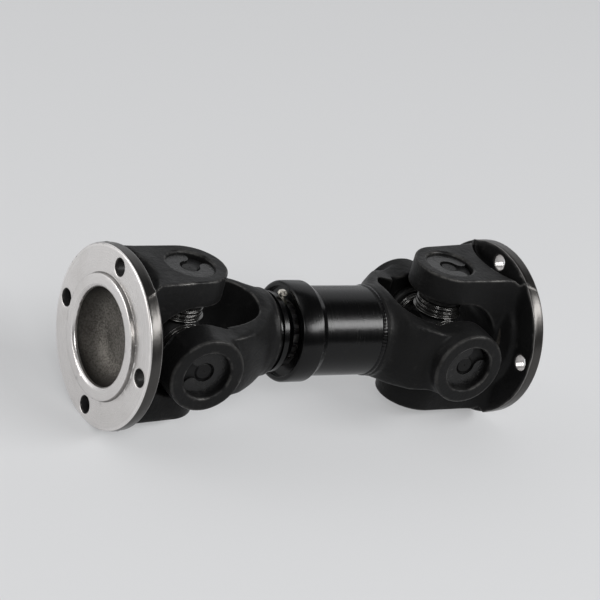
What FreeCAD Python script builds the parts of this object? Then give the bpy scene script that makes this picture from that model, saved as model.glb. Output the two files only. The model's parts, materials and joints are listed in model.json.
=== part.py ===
import FreeCAD, Part

# Universal joint shaft: two flange yokes, two bearing crosses and a short sliding centre shaft.
#
# Row frame: the origin is the centre of flange A's mounting face.  -X is the outward normal of that
# face, +X runs towards flange B, and +Z is the axis of the flange yokes' ears.  The two flange faces
# are parallel and the centre shaft runs between them at WORK_ANGLE in the XY plane.
#
# Joint frame, used by the yokes, crosses and bearings: the origin is the cross centre, the flange is
# on the -X side, the shaft on the +X side, the flange ears are along Z and the shaft ears along Y.
#
# Shaft frame, used by the sliding shaft: the origin is the centre of cross A and +X runs to cross B.

import math
import os

V = FreeCAD.Vector
X_AXIS = V(1, 0, 0)
Y_AXIS = V(0, 1, 0)
Z_AXIS = V(0, 0, 1)

# ---- driving dimensions, mm and degrees -------------------------------------------------------
WORK_ANGLE = 4.0            # angle between each flange axis and the shaft, at rest
CROSS_SPACING = 167.0       # cross centre to cross centre, shaft pushed home
FACE_TO_CROSS = 43.5        # flange mounting face to cross centre

FLANGE_R = 50.0
FLANGE_THICK = 7.5
PILOT_R = 34.0
PILOT_HEIGHT = 2.5
POCKET_R = 26.7
BOLT_CIRCLE_R = 42.0
BOLT_HOLE_R = 4.5

FLANGE_EAR_R = 20.5         # round end of a flange ear, about the bearing axis
SHAFT_EAR_R = 21.5          # the same for the round bosses on the shaft's yokes
EAR_INNER = 27.0            # bearing centre to the inner face of an ear
FLANGE_EAR_OUTER = 42.8     # bearing centre to the milled outer face of a flange ear
SHAFT_EAR_OUTER = 45.4      # bearing centre to the turned face of a boss on the shaft's yokes
SHAFT_ARM_OUTER = 37.5      # outside of the arm behind such a boss
THROAT_HALF = 24.5          # half the gap between the arms, behind the bosses

CUP_R = 13.5
CUP_MOUTH = 24.5
CUP_END = 39.4
CUP_BORE_R = 11.9
CUP_FLOOR = 36.9
NEEDLE_R = 1.49
NEEDLES_PER_CUP = 21
NEEDLE_START = 25.6
NEEDLE_LENGTH = 10.4
TRUNNION_R = 8.87
TRUNNION_END = 36.8
SHOULDER_R = 10.8
SHOULDER_END = 20.5
CIRCLIP_THICK = 1.5
CIRCLIP_INNER_R = 5.6
CIRCLIP_OPENING = 54.0      # from the middle of the gap to the middle of each rounded end
GROOVE_R = 14.5

TUBE_R = 25.1
TUBE_BORE_R = 22.1
TUBE_START = 70.4           # shaft frame
TUBE_END = 121.0
CAP_R = 28.2
CAP_START = 65.8
CAP_END = 79.7
CAP_TAIL = 83.2
SPLINE_R = 15.3
SPLINE_ROOT_R = 13.3
SPLINE_TEETH = 18
SPLINE_GAP = 0.08
SPLINE_START = 66.0
SPLINE_END = 112.0
SLIP_NIPPLE_X = 62.2
SLIP_NIPPLE_SEAT_R = 4.5    # spot face in the collar round that nipple's hexagon
SLEEVE_START = 74.5
SLEEVE_END = 116.0

BIG = 200.0


# ---- small helpers ------------------------------------------------------------------------------
def rod(radius, start, end, axis=X_AXIS):
    """Cylinder about an axis through the origin, between two stations on that axis."""
    return Part.makeCylinder(radius, end - start, axis * start, axis)


def block(low, high):
    return Part.makeBox(high[0] - low[0], high[1] - low[1], high[2] - low[2], V(*low))


def turned(outline, axis=X_AXIS):
    """Body of revolution from (station, radius) points; the outline closes along the axis."""
    side = Y_AXIS if axis == X_AXIS else X_AXIS
    points = [axis * station + side * radius for station, radius in outline]
    wire = Part.makePolygon(points + [points[0]])
    return Part.Face(wire).revolve(V(0, 0, 0), axis, 360)


def ring(inner, outer, start, end, axis=X_AXIS):
    return turned([(start, inner), (end, inner), (end, outer), (start, outer)], axis)


def plate(edges, low, high, axis):
    """Prism from a closed chain of edges drawn in the plane through the origin."""
    face = Part.Face(Part.Wire(edges))
    face.translate(axis * low)
    return face.extrude(axis * (high - low))


def line(first, second):
    return Part.LineSegment(V(*first), V(*second)).toShape()


def arc(first, middle, last):
    return Part.Arc(V(*first), V(*middle), V(*last)).toShape()


def about_z(shape, angle):
    copy = shape.copy()
    copy.rotate(V(0, 0, 0), Z_AXIS, angle)
    return copy


def about_x(shape, angle):
    copy = shape.copy()
    copy.rotate(V(0, 0, 0), X_AXIS, angle)
    return copy


def rounded_rims(shape, radius, station, axis):
    """Fillet the circular edges that lie on a plane square to the axis."""
    rims = []
    for edge in shape.Edges:
        centre = edge.CenterOfMass
        ends = [abs(abs(vertex.Point.dot(axis)) - station) < 1e-4 for vertex in edge.Vertexes]
        if all(ends) and abs(abs(centre.dot(axis)) - station) < 1e-4:
            rims.append(edge)
    return shape.makeFillet(radius, rims)


# ---- placing ------------------------------------------------------------------------------------
CROSS_A = V(FACE_TO_CROSS, 0, 0)


def shaft_place(shape):
    """Shaft frame to row frame."""
    copy = about_z(shape, -WORK_ANGLE)
    copy.translate(CROSS_A)
    return copy


def end_a_flange(shape):
    copy = shape.copy()
    copy.translate(CROSS_A)
    return copy


def cross_b_centre():
    angle = math.radians(WORK_ANGLE)
    along = CROSS_SPACING * math.cos(angle)
    aside = CROSS_SPACING * math.sin(angle)
    return CROSS_A + V(along, -aside, 0)


def end_b_flange(shape):
    copy = about_z(shape, 180)
    copy.translate(cross_b_centre())
    return copy


def end_a_shaft(shape):
    return shaft_place(shape)


def end_b_shaft(shape):
    copy = about_z(shape, 180)
    copy.translate(V(CROSS_SPACING, 0, 0))
    return shaft_place(copy)


# ---- flange yoke --------------------------------------------------------------------------------
BACK = FLANGE_THICK - FACE_TO_CROSS          # station of the flange's back face
FACE = -FACE_TO_CROSS
HUB_R = 34.2
WEB_FRONT = -27.0
ROOT_HALF_WIDTH = 26.0
SCALLOP_APEX = 11.5                          # how far the bolt scallop reaches along the ear
SCALLOP_R = 38.5
SCALLOP_FLOOR = 34.4
POCKET_FLOOR = -31.4


def flange_disc():
    edge = 0.8
    outline = [(FACE, 0), (FACE, FLANGE_R - edge), (FACE + edge, FLANGE_R),
               (BACK - edge, FLANGE_R), (BACK, FLANGE_R - edge), (BACK, 0)]
    disc = turned(outline)
    top = FACE - PILOT_HEIGHT
    pilot = turned([(top, 0), (top, PILOT_R - 0.6), (top + 0.6, PILOT_R), (FACE, PILOT_R), (FACE, 0)])
    hub = turned([(BACK, 0), (BACK, HUB_R), (BACK + 2.0, HUB_R), (BACK + 3.2, HUB_R - 1.4),
                  (WEB_FRONT, 12.0), (WEB_FRONT, 0)])
    return disc.fuse([pilot, hub])


def ear_outline_xy():
    """Round-ended ear seen along Z, flaring where it meets the flange."""
    end_r = FLANGE_EAR_R
    waist = (-24.0, 21.6)
    root = (BACK - 1.0, ROOT_HALF_WIDTH)
    middle = (-31.5, 22.9)
    return [
        arc((0, end_r, 0), (end_r, 0, 0), (0, -end_r, 0)),
        line((0, -end_r, 0), (waist[0], -waist[1], 0)),
        arc((waist[0], -waist[1], 0), (middle[0], -middle[1], 0), (root[0], -root[1], 0)),
        line((root[0], -root[1], 0), (root[0], root[1], 0)),
        arc((root[0], root[1], 0), (middle[0], middle[1], 0), (waist[0], waist[1], 0)),
        line((waist[0], waist[1], 0), (0, end_r, 0)),
    ]


def ear_throat():
    """Open space between the two ears, seen along Y: parallel walls and a round bottom."""
    centre = -2.5
    top = EAR_INNER
    edges = [
        arc((centre, 0, top), (centre - top, 0, 0), (centre, 0, -top)),
        line((centre, 0, -top), (40, 0, -top)),
        line((40, 0, -top), (40, 0, top)),
        line((40, 0, top), (centre, 0, top)),
    ]
    return plate(edges, -60, 60, Y_AXIS)


def bolt_scallop():
    """Relief in the root of an ear that lets a bolt head sit beside it."""
    centre_x = BACK + SCALLOP_APEX - SCALLOP_R
    slope = 0.6
    height = 12.0
    depth = FLANGE_EAR_OUTER - SCALLOP_FLOOR
    low_r = SCALLOP_R - slope * depth
    high_r = low_r + slope * height
    cone = Part.makeCone(low_r, high_r, height, V(centre_x, 0, SCALLOP_FLOOR), Z_AXIS)
    return cone.common(block((BACK, -60, 0), (20, 60, 60)))


def ear_bore(axis, outer):
    """Bearing bore through both ears, with a groove for each retaining ring."""
    bore = rod(CUP_R, -BIG, BIG, axis)
    start = CUP_END + 0.05
    groove = rod(GROOVE_R, start, start + CIRCLIP_THICK + 0.15, axis)
    other = rod(GROOVE_R, -start - CIRCLIP_THICK - 0.15, -start, axis)
    lead = turned([(outer - 0.8, CUP_R), (outer + 0.1, CUP_R + 0.9), (outer + 1, CUP_R + 0.9),
                   (outer + 1, 0), (outer - 0.8, 0)], axis)
    other_lead = turned([(-outer + 0.8, CUP_R), (-outer - 0.1, CUP_R + 0.9), (-outer - 1, CUP_R + 0.9),
                         (-outer - 1, 0), (-outer + 0.8, 0)], axis)
    return bore.fuse([groove, other, lead, other_lead])


def pocket():
    """Dished pocket in the flange, with a short machined mouth and a round-cornered floor."""
    mouth = FACE - PILOT_HEIGHT
    corner = 13.0
    wall_end = POCKET_FLOOR - corner
    low = corner * math.sqrt(0.5)
    rim = [
        line((mouth - 1, 0, 0), (mouth - 1, POCKET_R + 1.2, 0)),
        line((mouth - 1, POCKET_R + 1.2, 0), (mouth, POCKET_R + 1.2, 0)),
        line((mouth, POCKET_R + 1.2, 0), (mouth + 1.2, POCKET_R, 0)),
        line((mouth + 1.2, POCKET_R, 0), (wall_end, POCKET_R, 0)),
        arc((wall_end, POCKET_R, 0), (wall_end + low, POCKET_R - corner + low, 0),
            (POCKET_FLOOR, POCKET_R - corner, 0)),
        line((POCKET_FLOOR, POCKET_R - corner, 0), (POCKET_FLOOR, 0, 0)),
        line((POCKET_FLOOR, 0, 0), (mouth - 1, 0, 0)),
    ]
    return Part.Face(Part.Wire(rim)).revolve(V(0, 0, 0), X_AXIS, 360)


def bolt_holes():
    holes = []
    for quarter in range(4):
        hole = rod(BOLT_HOLE_R, FACE - 1.0, BACK + 1.0)
        hole.translate(V(0, 0, BOLT_CIRCLE_R))
        holes.append(about_x(hole, 90 * quarter))
    return holes


def flange_yoke():
    ears = plate(ear_outline_xy(), -FLANGE_EAR_OUTER, FLANGE_EAR_OUTER, Z_AXIS)
    ears = rounded_rims(ears, 1.6, FLANGE_EAR_OUTER, Z_AXIS)
    ears = ears.cut(ear_throat())
    scallop = bolt_scallop()
    ears = ears.cut([scallop, about_x(scallop, 180)])
    body = flange_disc().fuse(ears)
    body = body.cut(pocket())
    body = body.cut(ear_bore(Z_AXIS, FLANGE_EAR_OUTER))
    return body.cut(bolt_holes())


# ---- cross and its bearings ---------------------------------------------------------------------
def cross():
    core = Part.makeSphere(15.6).common(rod(15.6, -11.0, 11.0))
    arms = []
    for axis in (Y_AXIS, Z_AXIS):
        arms.append(rod(SHOULDER_R, -SHOULDER_END, SHOULDER_END, axis))
        tip = TRUNNION_END
        arms.append(turned([(-tip, 0), (-tip, TRUNNION_R - 0.7), (-tip + 0.7, TRUNNION_R),
                            (tip - 0.7, TRUNNION_R), (tip, TRUNNION_R - 0.7), (tip, 0)], axis))
    body = core.fuse(arms)
    channels = [rod(1.6, -BIG, BIG, Y_AXIS), rod(1.6, -BIG, BIG, Z_AXIS), rod(3.0, 4.0, 20.0)]
    return body.cut(channels).removeSplitter()


def dust_guard():
    """Stepped steel shield pressed on a cross shoulder, drawn about Z."""
    return turned([(13.8, SHOULDER_R), (13.8, 13.4), (14.1, 13.7), (14.5, 13.7), (14.9, 12.1),
                   (15.9, 12.1), (16.3, 12.7), (17.0, 12.7), (17.4, 12.1), (18.3, 12.1),
                   (18.7, 12.7), (19.4, 12.7), (19.8, 12.1), (20.4, 12.1), (20.4, SHOULDER_R)], Z_AXIS)


def trunnion_seal():
    """Rubber lip seal in the mouth of a cup, drawn about Z."""
    return turned([(21.6, TRUNNION_R + 0.30), (25.4, TRUNNION_R + 0.30), (25.4, CUP_BORE_R),
                   (CUP_MOUTH, CUP_BORE_R), (CUP_MOUTH, 13.2), (23.4, 13.2), (22.6, 12.4),
                   (21.6, 12.4)], Z_AXIS)


def bearing_cup():
    """Drawn cup with a raised centre on its closed end, drawn about Z."""
    return turned([(CUP_MOUTH, CUP_BORE_R), (CUP_FLOOR, CUP_BORE_R), (CUP_FLOOR, 0), (CUP_END + 0.9, 0),
                   (CUP_END + 0.9, 4.2), (CUP_END, 5.0), (CUP_END, CUP_R - 0.8),
                   (CUP_END - 0.8, CUP_R), (CUP_MOUTH + 0.5, CUP_R), (CUP_MOUTH, CUP_R - 0.5)], Z_AXIS)


def needles():
    """Full ring of loose needle rollers, drawn about Z."""
    pitch_r = CUP_BORE_R - NEEDLE_R - 0.01
    rollers = []
    for count in range(NEEDLES_PER_CUP):
        angle = 2 * math.pi * count / NEEDLES_PER_CUP
        foot = V(pitch_r * math.cos(angle), pitch_r * math.sin(angle), NEEDLE_START)
        rollers.append(Part.makeCylinder(NEEDLE_R, NEEDLE_LENGTH, foot, Z_AXIS))
    return rollers


def circlip():
    """Broad internal retaining ring with rounded ends, drawn about Z with its gap towards +X."""
    low = CUP_END + 0.1
    high = low + CIRCLIP_THICK
    outer = GROOVE_R - 0.05
    reach = 2 * outer
    side = reach * math.tan(math.radians(CIRCLIP_OPENING))
    wedge = plate([line((0, 0, 0), (reach, -side, 0)), line((reach, -side, 0), (reach, side, 0)),
                   line((reach, side, 0), (0, 0, 0))], low - 1, high + 1, Z_AXIS)
    band = ring(CIRCLIP_INNER_R, outer, low, high, Z_AXIS).cut(wedge)
    middle = (outer + CIRCLIP_INNER_R) / 2
    end_r = (outer - CIRCLIP_INNER_R) / 2 - 0.02
    for hand in (-1, 1):
        angle = math.radians(CIRCLIP_OPENING) * hand
        centre = V(middle * math.cos(angle), middle * math.sin(angle), low)
        band = band.fuse(Part.makeCylinder(end_r, CIRCLIP_THICK, centre, Z_AXIS))
    return band.removeSplitter()


def grease_nipple(foot):
    """Straight grease nipple along +X, its hexagon sitting at the given station."""
    hexagon = Part.makePolygon([V(foot, 3.9 * math.cos(math.radians(60 * n)),
                                  3.9 * math.sin(math.radians(60 * n))) for n in range(7)])
    nut = Part.Face(hexagon).extrude(V(2.6, 0, 0))
    stem = turned([(foot - 4.5, 0), (foot - 4.5, 2.95), (foot, 2.95), (foot + 2.6, 2.6),
                   (foot + 4.6, 1.9), (foot + 5.4, 1.9), (foot + 6.4, 2.8), (foot + 7.6, 2.4),
                   (foot + 8.4, 1.2), (foot + 8.4, 0)])
    return nut.fuse(stem).removeSplitter()


# ---- shaft-side yokes ---------------------------------------------------------------------------
def shaft_ear_boss():
    """Round boss on each arm, about Y, with a softened outer rim."""
    soft = 2.2
    outline = [(EAR_INNER, 0), (EAR_INNER, SHAFT_EAR_R)]
    steps = 5
    for step in range(steps + 1):
        angle = math.radians(90.0 * step / steps)
        outline.append((SHAFT_EAR_OUTER - soft + soft * math.sin(angle),
                        SHAFT_EAR_R - soft + soft * math.cos(angle)))
    outline.append((SHAFT_EAR_OUTER, 0))
    boss = turned(outline, Y_AXIS)
    return boss, about_x(boss, 180)


def arm_body(hub_r, hub_start, waist, limit):
    """Arms and hub as one casting: plan outline, side outline and turned envelope in common.

    waist is the half height of the arms beside the bosses.  limit lists (station, radius) points
    of the turned envelope between the bosses and the hub.
    """
    arm = SHAFT_ARM_OUTER
    bend = limit[0][0]
    run = hub_start - bend
    drop = arm - hub_r
    curve_r = (run * run + drop * drop) / (2 * drop)
    half_turn = 0.5 * math.asin(run / curve_r)
    mid_x = bend + curve_r * math.sin(half_turn)
    mid_y = arm - curve_r * (1 - math.cos(half_turn))
    plan_edges = [
        line((-14.0, arm, 0), (bend, arm, 0)),
        arc((bend, arm, 0), (mid_x, mid_y, 0), (hub_start, hub_r, 0)),
        line((hub_start, hub_r, 0), (hub_start, -hub_r, 0)),
        arc((hub_start, -hub_r, 0), (mid_x, -mid_y, 0), (bend, -arm, 0)),
        line((bend, -arm, 0), (-14.0, -arm, 0)),
        line((-14.0, -arm, 0), (-14.0, arm, 0)),
    ]
    plan_prism = plate(plan_edges, -60, 60, Z_AXIS)
    side = [(-14.0, waist - 4.0), (0, waist), (18.0, waist), (hub_start, hub_r)]
    side_edges = []
    upper = [(x, 0, z) for x, z in side]
    lower = [(x, 0, -z) for x, z in reversed(side)]
    chain = upper + lower
    for first, second in zip(chain, chain[1:] + chain[:1]):
        side_edges.append(line(first, second))
    side_prism = plate(side_edges, -60, 60, Y_AXIS)
    envelope = turned([(-20, 0), (-20, 60)] + limit + [(limit[-1][0], 0)])
    return plan_prism.common(side_prism).common(envelope)


def yoke_throat(bottom):
    """Open space between the arms, seen along Z: parallel walls and a round bottom."""
    half = THROAT_HALF
    seat = 16.5
    corner = 15.0
    edges = [
        line((-40, -EAR_INNER, 0), (seat, -EAR_INNER, 0)),
        line((seat, -EAR_INNER, 0), (seat + 2.0, -half, 0)),
        line((seat + 2.0, -half, 0), (bottom - corner, -half, 0)),
        arc((bottom - corner, -half, 0), (bottom - 4.2, -half + 11.0, 0), (bottom, 0, 0)),
        arc((bottom, 0, 0), (bottom - 4.2, half - 11.0, 0), (bottom - corner, half, 0)),
        line((bottom - corner, half, 0), (seat + 2.0, half, 0)),
        line((seat + 2.0, half, 0), (seat, EAR_INNER, 0)),
        line((seat, EAR_INNER, 0), (-40, EAR_INNER, 0)),
        line((-40, EAR_INNER, 0), (-40, -EAR_INNER, 0)),
    ]
    return plate(edges, -60, 60, Z_AXIS)


def spline_outline(root_r, tip_r):
    """Closed zigzag outline of a straight-sided spline in the YZ plane."""
    pitch = 2 * math.pi / SPLINE_TEETH
    points = []
    for tooth in range(SPLINE_TEETH):
        start = tooth * pitch
        for part, radius in ((-0.30, root_r), (-0.17, tip_r), (0.17, tip_r), (0.30, root_r)):
            angle = start + part * pitch
            points.append(V(0, radius * math.cos(angle), radius * math.sin(angle)))
    return Part.makePolygon(points + [points[0]])


def spline_bar(extra, start, end):
    face = Part.Face(spline_outline(SPLINE_ROOT_R + extra, SPLINE_R + extra))
    face.translate(V(start, 0, 0))
    return face.extrude(V(end - start, 0, 0))


def slip_yoke():
    """Shaft-side yoke of joint A with its splined stub."""
    hub_r = 23.6
    hub_start = 51.0
    body = arm_body(hub_r, hub_start, 18.0, [(18, 43.5), (30, 38.0), (42, 30.5), (hub_start, hub_r)])
    hub = turned([(40, 0), (40, 18), (hub_start, hub_r), (54.2, hub_r), (54.8, hub_r - 1.0),
                  (55.2, 21.0), (57.2, 21.0), (57.6, 22.4), (60.6, 22.4), (61.2, 21.8),
                  (61.2, 17.6), (SPLINE_START, 17.6), (SPLINE_START, 0)])
    near, far = shaft_ear_boss()
    body = body.fuse([hub, near, far])
    body = body.cut([yoke_throat(43.5), ear_bore(Y_AXIS, SHAFT_EAR_OUTER)])
    stub = spline_bar(0.0, SPLINE_START - 1.0, SPLINE_END)
    socket = rod(2.98, 11.0, 24.0, Z_AXIS)
    seat = rod(SLIP_NIPPLE_SEAT_R, 17.6, 24.0, Z_AXIS)
    for hole in (socket, seat):
        hole.translate(V(SLIP_NIPPLE_X, 0, 0))
    return body.fuse(stub).cut([socket, seat]).removeSplitter()


def slip_nipple():
    nipple = grease_nipple(17.6)
    nipple.rotate(V(0, 0, 0), Y_AXIS, -90)
    nipple.translate(V(SLIP_NIPPLE_X, 0, 0))
    return nipple


def tube_yoke():
    """Shaft-side yoke of joint B, in the joint frame; its spigot enters the tube."""
    hub_r = TUBE_R
    hub_start = 41.0
    seat = CROSS_SPACING - TUBE_END
    spigot_end = seat + 3.2
    body = arm_body(hub_r, hub_start, 18.5, [(14, 44), (26, 39), (35, 31.5), (hub_start, hub_r)])
    hub = turned([(30, 0), (30, 18), (hub_start, hub_r), (seat - 1.6, hub_r), (seat, hub_r - 1.6),
                  (seat, TUBE_BORE_R), (spigot_end, TUBE_BORE_R), (spigot_end, 0)])
    near, far = shaft_ear_boss()
    body = body.fuse([hub, near, far])
    return body.cut([yoke_throat(36.0), ear_bore(Y_AXIS, SHAFT_EAR_OUTER)]).removeSplitter()


# ---- sliding centre shaft, shaft frame ----------------------------------------------------------
def centre_tube():
    return turned([(TUBE_START, TUBE_BORE_R), (TUBE_END, TUBE_BORE_R), (TUBE_END, TUBE_R - 1.6),
                   (TUBE_END - 1.6, TUBE_R), (TUBE_START, TUBE_R)])


def spline_sleeve():
    bush = rod(TUBE_BORE_R, SLEEVE_START, SLEEVE_END)
    return bush.cut(spline_bar(SPLINE_GAP, SLEEVE_START - 5, SLEEVE_END + 5))


def dust_cap():
    """Turned cap over the open end of the tube; its recessed wall holds the wiper seal."""
    return turned([(CAP_START, 25.4), (CAP_START + 0.5, 25.0), (68.3, 25.0), (68.3, 18.9),
                   (TUBE_START, 18.9), (TUBE_START, TUBE_R), (CAP_TAIL, TUBE_R),
                   (CAP_TAIL, TUBE_R + 0.6), (CAP_END, CAP_R - 0.4), (CAP_END - 0.5, CAP_R),
                   (CAP_START + 1.6, CAP_R),
                   (CAP_START + 0.5, CAP_R - 0.5), (CAP_START, CAP_R - 1.5)])


def wiper_seal():
    return turned([(TUBE_START + 0.05, SPLINE_R + 1.2), (TUBE_START + 1.2, SPLINE_R + 0.1),
                   (TUBE_START + 4.0, SPLINE_R + 0.1), (TUBE_START + 4.0, TUBE_BORE_R),
                   (TUBE_START + 0.05, TUBE_BORE_R)])


def sleeve_plug():
    """Dished sheet plug that closes the grease space."""
    return rod(TUBE_BORE_R, SLEEVE_END + 0.05, SLEEVE_END + 1.5)


def weld_ring():
    """Bead that fills the groove between tube and yoke and stands a little proud."""
    bead = Part.makeTorus(TUBE_R - 1.3, 2.0, V(TUBE_END, 0, 0), X_AXIS)
    groove = turned([(TUBE_END - 1.6, TUBE_R), (TUBE_END, TUBE_R - 1.6), (TUBE_END + 1.6, TUBE_R),
                     (TUBE_END + 1.6, TUBE_R + 3), (TUBE_END - 1.6, TUBE_R + 3)])
    above = ring(TUBE_R, TUBE_R + 3, TUBE_END - 4, TUBE_END + 4)
    return bead.common(groove.fuse(above)).removeSplitter()


# ---- writing the sub-parts ----------------------------------------------------------------------
def save(name, shape):
    shape.exportStep("parts/" + name + ".step")


def save_group(name, shapes):
    save(name, Part.makeCompound(shapes))


# Each bearing position: the turn about X that carries +Z to the ear's direction.
FLANGE_EARS = {"top": 0, "bottom": 180}
SHAFT_EARS_A = {"near": 90, "far": -90}
SHAFT_EARS_B = {"near": -90, "far": 90}      # end B is turned half round before it is placed
# Where each retaining ring's gap points, about its own axis, before it is turned into place.
CIRCLIP_TURN = {
    ("a", "top"): 40, ("a", "bottom"): 140, ("a", "near"): 175, ("a", "far"): 20,
    ("b", "top"): 150, ("b", "bottom"): 60, ("b", "near"): 230, ("b", "far"): -50,
}


def save_bearings(end, ears, place, yoke_name):
    """Cups, retaining rings, needle rollers and seals of one yoke's two ears."""
    cup = bearing_cup()
    clip = circlip()
    seal = trunnion_seal()
    rollers = needles()
    all_rollers = []
    all_seals = []
    for side, turn in ears.items():
        save("bearing_cup_%s_%s" % (end, side), place(about_x(cup, turn)))
        turned_clip = about_z(clip, CIRCLIP_TURN[(end, side)])
        save("circlip_%s_%s" % (end, side), place(about_x(turned_clip, turn)))
        all_seals.append(place(about_x(seal, turn)))
        all_rollers += [place(about_x(roller, turn)) for roller in rollers]
    save_group("needle_rollers_" + yoke_name, all_rollers)
    save_group("trunnion_seals_" + yoke_name, all_seals)


def save_cross(end, place):
    guard = dust_guard()
    save("cross_" + end, place(cross()))
    save_group("dust_guards_" + end, [place(about_x(guard, 90 * n)) for n in range(4)])
    save("cross_nipple_" + end, place(grease_nipple(11.0)))


def main():
    os.makedirs("parts", exist_ok=True)
    yoke = flange_yoke()
    save("flange_yoke_a", end_a_flange(yoke))
    save("flange_yoke_b", end_b_flange(yoke))
    save_bearings("a", FLANGE_EARS, end_a_flange, "flange_yoke_a")
    save_bearings("a", SHAFT_EARS_A, end_a_shaft, "slip_yoke")
    save_bearings("b", SHAFT_EARS_B, end_b_shaft, "tube_yoke")
    save_bearings("b", FLANGE_EARS, end_b_flange, "flange_yoke_b")
    save_cross("a", end_a_shaft)
    save_cross("b", end_b_shaft)
    save("slip_yoke", shaft_place(slip_yoke()))
    save("slip_nipple", shaft_place(slip_nipple()))
    save("tube_yoke", end_b_shaft(tube_yoke()))
    save("centre_tube", shaft_place(centre_tube()))
    save("spline_sleeve", shaft_place(spline_sleeve()))
    save("dust_cap", shaft_place(dust_cap()))
    save("wiper_seal", shaft_place(wiper_seal()))
    save("sleeve_plug", shaft_place(sleeve_plug()))
    save("weld_ring", shaft_place(weld_ring()))


main()
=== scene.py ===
# Looks of a universal joint shaft.  The forged yokes are meshed from distance fields.  Caps, rings,
# shields, collar, splined stub, dust cap, tube and weld are modelled again with rounded rims.  The
# crosses, needles, seals, spline sleeve, plug and nipples keep their CAD shapes.
# Shapes are drawn in millimetres in a joint's own frame: origin at the cross centre, flange towards
# -X, shaft towards +X, flange ears along Z, shaft ears along Y.  Meshes are in metres.

import json
import math

import bmesh
import bpy
import numpy as np
import openvdb
from mathutils import Matrix, Vector


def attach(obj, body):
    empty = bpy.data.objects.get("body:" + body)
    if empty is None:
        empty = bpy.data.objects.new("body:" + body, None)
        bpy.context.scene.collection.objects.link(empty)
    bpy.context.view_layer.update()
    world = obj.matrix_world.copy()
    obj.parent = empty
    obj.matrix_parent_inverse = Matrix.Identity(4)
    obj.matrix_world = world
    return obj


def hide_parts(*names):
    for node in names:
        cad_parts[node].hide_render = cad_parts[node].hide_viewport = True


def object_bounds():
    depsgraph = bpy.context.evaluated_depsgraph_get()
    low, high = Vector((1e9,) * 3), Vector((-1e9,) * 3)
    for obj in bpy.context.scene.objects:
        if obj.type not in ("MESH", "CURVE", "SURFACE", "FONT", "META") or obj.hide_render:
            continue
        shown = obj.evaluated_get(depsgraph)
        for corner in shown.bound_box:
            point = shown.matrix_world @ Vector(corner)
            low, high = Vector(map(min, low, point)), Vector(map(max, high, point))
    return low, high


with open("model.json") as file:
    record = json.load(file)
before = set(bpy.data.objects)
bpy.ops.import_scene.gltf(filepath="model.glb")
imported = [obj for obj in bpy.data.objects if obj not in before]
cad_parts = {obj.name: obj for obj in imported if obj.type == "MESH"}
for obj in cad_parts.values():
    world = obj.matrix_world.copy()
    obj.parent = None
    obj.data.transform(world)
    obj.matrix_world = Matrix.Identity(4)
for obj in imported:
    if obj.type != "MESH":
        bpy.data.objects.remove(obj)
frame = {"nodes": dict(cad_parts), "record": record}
cad_low, cad_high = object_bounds()

# ---- sizes --------------------------------------------------------------------------------------
MM = 0.001
WORK_ANGLE = math.radians(4.0)
CROSS_SPACING = 167.0
FACE_TO_CROSS = 43.5

FACE = -FACE_TO_CROSS
BACK = FACE + 7.5
FLANGE_R = 50.0
PILOT_R = 34.0
PILOT_TOP = FACE - 2.5
PILOT_ROOT = 2.0            # how far the pilot's field reaches into the flange
POCKET_R = 26.7
POCKET_FLOOR = -31.4
POCKET_CORNER = 13.0
BOLT_CIRCLE_R = 42.0
BOLT_HOLE_R = 4.5
BOLT_HOLES = ((0.0, BOLT_CIRCLE_R), (0.0, -BOLT_CIRCLE_R), (BOLT_CIRCLE_R, 0.0), (-BOLT_CIRCLE_R, 0.0))
FLANGE_HUB_R = 34.2
FLANGE_HUB_END = -27.0
HUB_SLOPE = (0.963, 0.2686)  # unit normal, as (x, r), of the hub's sloping end
HUB_SLOPE_AT = (-32.8, 32.8)
FLANGE_EAR_R = 20.5
FLANGE_EAR_OUTER = 42.8
FLANGE_EAR_WIDTH = [(-46, 28.5), (-37, 26.0), (-34.5, 24.2), (-31.5, 22.9), (-28, 22.1), (-24, 21.6),
                    (0, FLANGE_EAR_R)]  # half width at stations along X
ROOT_OVERLAP = 4.0          # how far hub and ears reach into the flange
CRADLE_AT = -2.5            # where the ears' straight inner sides turn into a round cradle
SCALLOP_AT = -63.0          # cylinder that relieves the ears for the bolt heads
SCALLOP_R = 33.5
SCALLOP_FOOT = 34.4
SCALLOP_FLARE = 0.6

SHAFT_EAR_R = 21.5
SHAFT_EAR_OUTER = 45.4
EAR_INNER = 27.0
EAR_FLAT_END = 16.5
BORE_R = 13.5
BORE_START = 20.0
ARM_OUTER = 37.5
ARM_BACK = -14.0
THROAT_START = 17.0
THROAT_HALF = 24.5
THROAT_POWER = 2.6          # above 2, so that the throat is squarer than an ellipse
HUB_OVERLAP = 12.0
HUB_CONE_R = 18.0

CUP_END = 39.4
CUP_BOSS = CUP_END + 0.9    # raised centre of the bearing cap
CUP_R = BORE_R - 0.03
CUP_OUTLINE = [(24.5, 11.9), (36.9, 11.9), (36.9, 0.2), (CUP_BOSS, 0.2), (CUP_BOSS, 4.2), (CUP_END, 5.0),
               (CUP_END, 12.7), (CUP_END - 0.8, CUP_R), (25.0, CUP_R), (24.5, 13.0)]
SHIELD_IN, SHIELD_LOW, SHIELD_STEP, SHIELD_RIM = 10.8, 12.1, 12.7, 13.7
SHIELD_OUTLINE = [(13.8, SHIELD_IN), (13.8, 13.4), (14.1, SHIELD_RIM), (14.5, SHIELD_RIM),
                  (14.9, SHIELD_LOW), (15.9, SHIELD_LOW), (16.3, SHIELD_STEP), (17.0, SHIELD_STEP),
                  (17.4, SHIELD_LOW), (18.3, SHIELD_LOW), (18.7, SHIELD_STEP), (19.4, SHIELD_STEP),
                  (19.8, SHIELD_LOW), (20.4, SHIELD_LOW), (20.4, SHIELD_IN)]
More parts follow.
